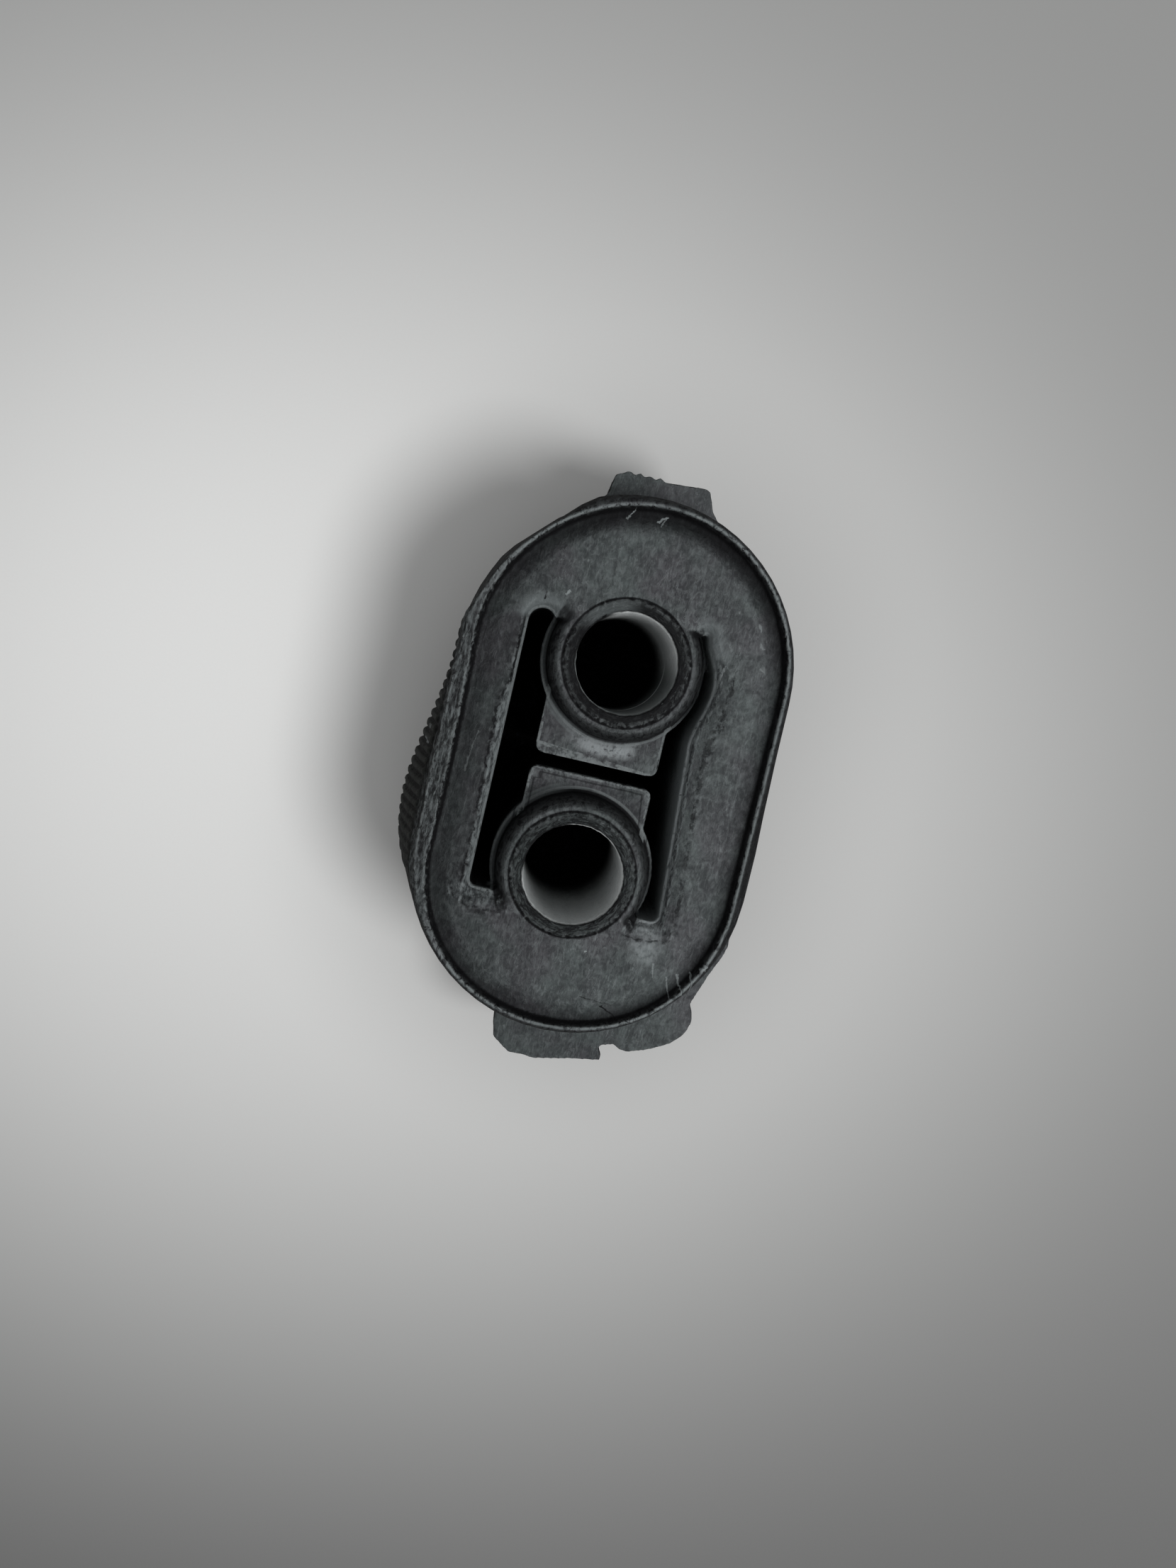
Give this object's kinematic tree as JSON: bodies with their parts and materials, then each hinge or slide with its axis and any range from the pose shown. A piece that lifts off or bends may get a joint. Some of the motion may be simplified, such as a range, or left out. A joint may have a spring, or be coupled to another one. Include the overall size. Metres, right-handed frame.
{
  "type": "exhaust hanger rubber",
  "caption": "Moulded rubber exhaust hanger with two rod bores, side arms, bumper blocks between the bores and torn moulding tabs at both ends.",
  "frame": {"origin": "centre of the bounding box on the back face, where the hanger lies flat", "axes": "+Z along the rod bores from the back face to the front face, +Y along the long axis towards the smaller torn tab"},
  "size_m": [0.0484, 0.079, 0.032],
  "materials": {
    "black_rubber": "dusty matte"
  },
  "bodies": {
    "root": {"hanger_rubber": "black_rubber"}
  },
  "joints": []
}
